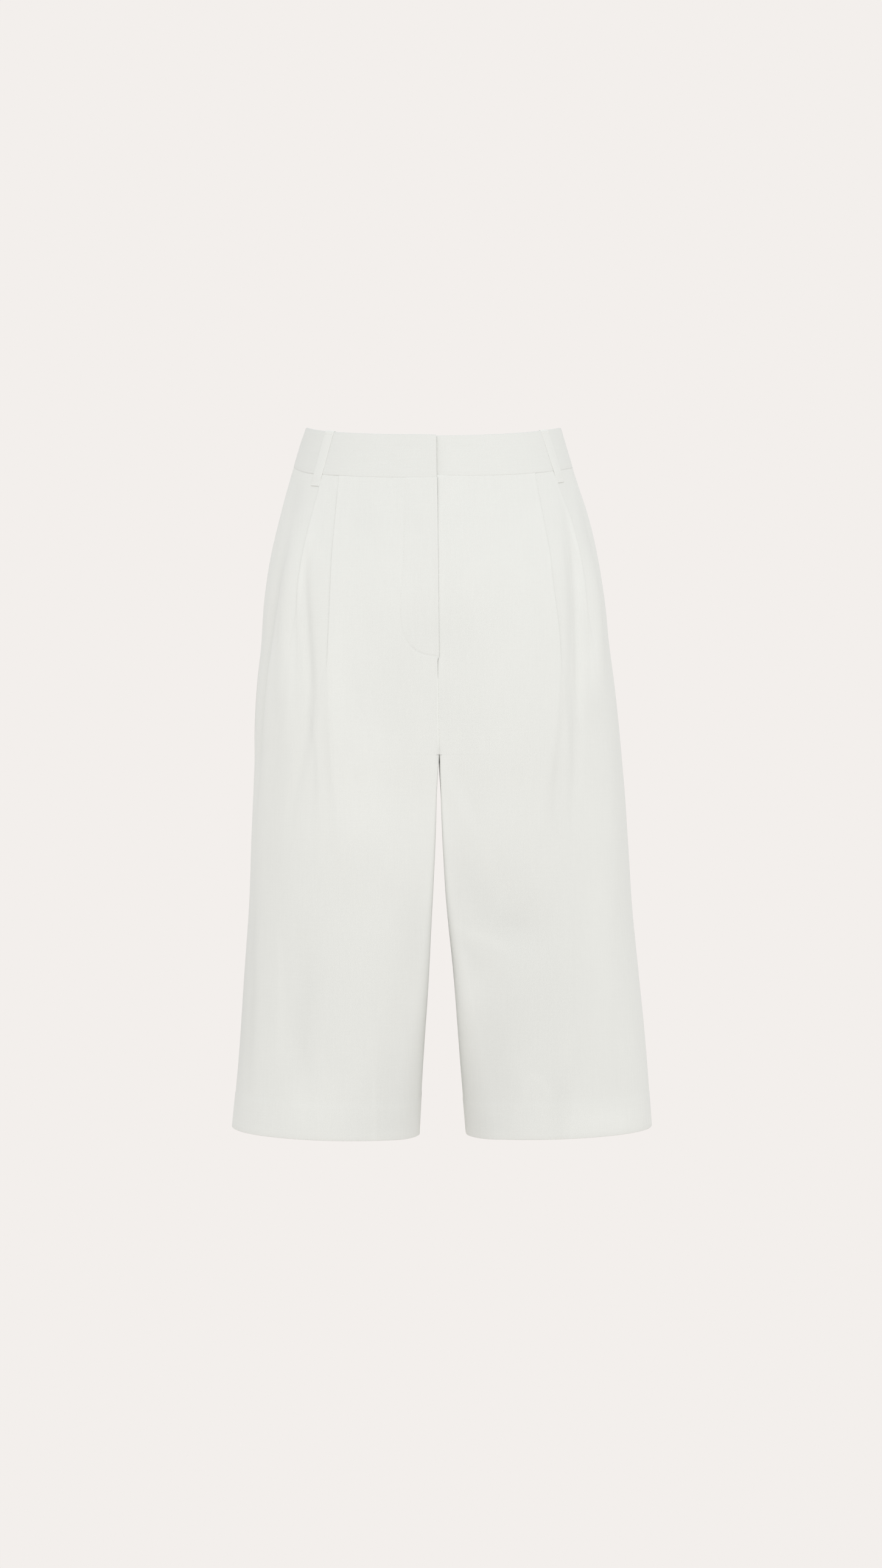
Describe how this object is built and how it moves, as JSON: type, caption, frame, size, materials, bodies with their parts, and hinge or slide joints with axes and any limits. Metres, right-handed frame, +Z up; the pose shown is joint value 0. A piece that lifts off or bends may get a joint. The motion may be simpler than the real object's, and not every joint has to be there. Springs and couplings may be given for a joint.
{
  "type": "bermuda shorts",
  "caption": "High-waisted knee-length bermuda shorts with wide straight legs, paired front pleats, fly front and belt loops, filled out as worn with no wearer.",
  "frame": {"origin": "middle of the waist, half way down the waistband at the sides, on the line of the centre seams", "axes": "+Z up; the front faces -Y; +X towards the wearer's left"},
  "size_m": [0.3872, 0.2418, 0.6496],
  "materials": {
    "cloth": "off-white plain-woven linen and viscose, matt",
    "zip_tape": "off-white woven zip tape",
    "steel": "nickel-plated steel"
  },
  "bodies": {
    "root": {"front_right": "cloth", "front_left": "cloth", "back_right": "cloth", "back_left": "cloth", "waistband_right": "cloth", "waistband_left": "cloth", "belt_loop_front_right": "cloth", "belt_loop_front_left": "cloth", "belt_loop_back_right": "cloth", "belt_loop_back_left": "cloth", "belt_loop_centre_back": "cloth", "fly_facing": "cloth", "fly_shield": "cloth", "zip_tape": "zip_tape", "zip_slider": "steel", "waist_hook": "steel", "waist_bar": "steel"}
  },
  "joints": []
}
